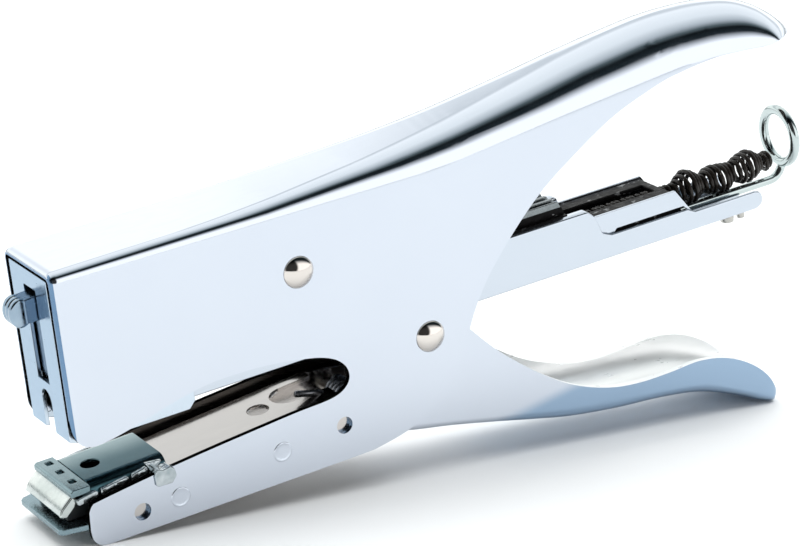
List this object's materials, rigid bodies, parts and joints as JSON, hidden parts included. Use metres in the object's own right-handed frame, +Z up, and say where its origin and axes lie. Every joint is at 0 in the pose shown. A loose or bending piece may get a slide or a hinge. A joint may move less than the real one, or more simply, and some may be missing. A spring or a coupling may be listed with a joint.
{
  "type": "plier stapler",
  "caption": "Hand-held metal plier stapler: pressed body with upper handle and anvil jaw, sprung squeeze handle, swinging magazine, driver blade and pull-out staple pusher.",
  "frame": {"origin": "centre of the bounding box at floor level, standing on the front lower corner of the jaw and the end of the lower handle", "axes": "+X towards the rear ends of the handles, +Y towards the far side, +Z up; the magazine runs along X, tilted up 8.25 degrees to the rear"},
  "size_m": [0.1916, 0.025, 0.0939],
  "materials": {
    "body_chrome": "bright nickel-chrome plate",
    "handle_chrome": "bright nickel-chrome plate",
    "rivet_steel": "polished",
    "channel_steel": "smooth nickel plate",
    "anvil_steel": "satin",
    "bright_steel": "satin",
    "pin_steel": "plain",
    "spring_steel": "plain",
    "lever_steel": "nickel plate",
    "magazine_steel": "satin nickel plate",
    "guide_steel": "satin nickel plate",
    "rail_black": "oiled black oxide",
    "coil_black": "oiled black oxide",
    "staple_wire": "zinc plate",
    "pusher_steel": "satin",
    "wire_steel": "polished"
  },
  "bodies": {
    "body": {"body_shell": "body_chrome", "front_rivet": "rivet_steel", "rear_rivet": "rivet_steel", "jaw_channel": "channel_steel", "weld_studs": "channel_steel", "spring_pin": "pin_steel", "anvil_base": "anvil_steel", "anvil_plate": "anvil_steel", "anvil_block": "anvil_steel", "anvil_tongue": "bright_steel", "anvil_rails": "bright_steel", "anvil_clip": "bright_steel", "anvil_pin": "pin_steel", "handle_spring": "spring_steel", "lever_spring": "spring_steel"},
    "handle": {"lower_handle": "handle_chrome", "drive_lever": "lever_steel", "lever_rivets": "pin_steel"},
    "driver": {"driver_blade": "lever_steel"},
    "magazine": {"magazine_channel": "magazine_steel", "magazine_liner": "magazine_steel", "staple_rail": "rail_black", "guide_plate": "guide_steel", "pivot_saddle": "lever_steel", "rail_studs": "pin_steel", "staple_strip": "staple_wire"},
    "pusher": {"pusher": "pusher_steel", "pull_wire": "wire_steel", "pusher_spring": "coil_black"}
  },
  "joints": [
    {"name": "handle_squeeze", "type": "hinge", "parent": "body", "child": "handle", "pos_m": [-0.00475, 0, 0.03185], "axis": [0, -1, 0], "range_deg": [0, 13.9], "stiffness_Nm_per_rad": 1.2, "springref_deg": -20.05, "deforming": ["handle_spring", "lever_spring"]},
    {"name": "magazine_swing", "type": "hinge", "parent": "body", "child": "magazine", "pos_m": [-0.00475, 0, 0.03185], "axis": [0, -1, 0], "range_deg": [0, 5.6]},
    {"name": "driver_drop", "type": "slide", "parent": "magazine", "child": "driver", "axis": [0.1435, 0, -0.9897], "range_m": [0, 0.0121]},
    {"name": "pusher_pull", "type": "slide", "parent": "magazine", "child": "pusher", "axis": [0.9897, 0, 0.1435], "range_m": [0, 0.024], "stiffness_N_per_m": 60, "springref_m": -0.03, "deforming": ["pusher_spring"]}
  ],
  "couplings": [
    {"joint": "magazine_swing", "follows": "handle_squeeze", "ratio": 0.4},
    {"joint": "driver_drop", "follows": "handle_squeeze", "m_per_rad": 0.049464}
  ]
}
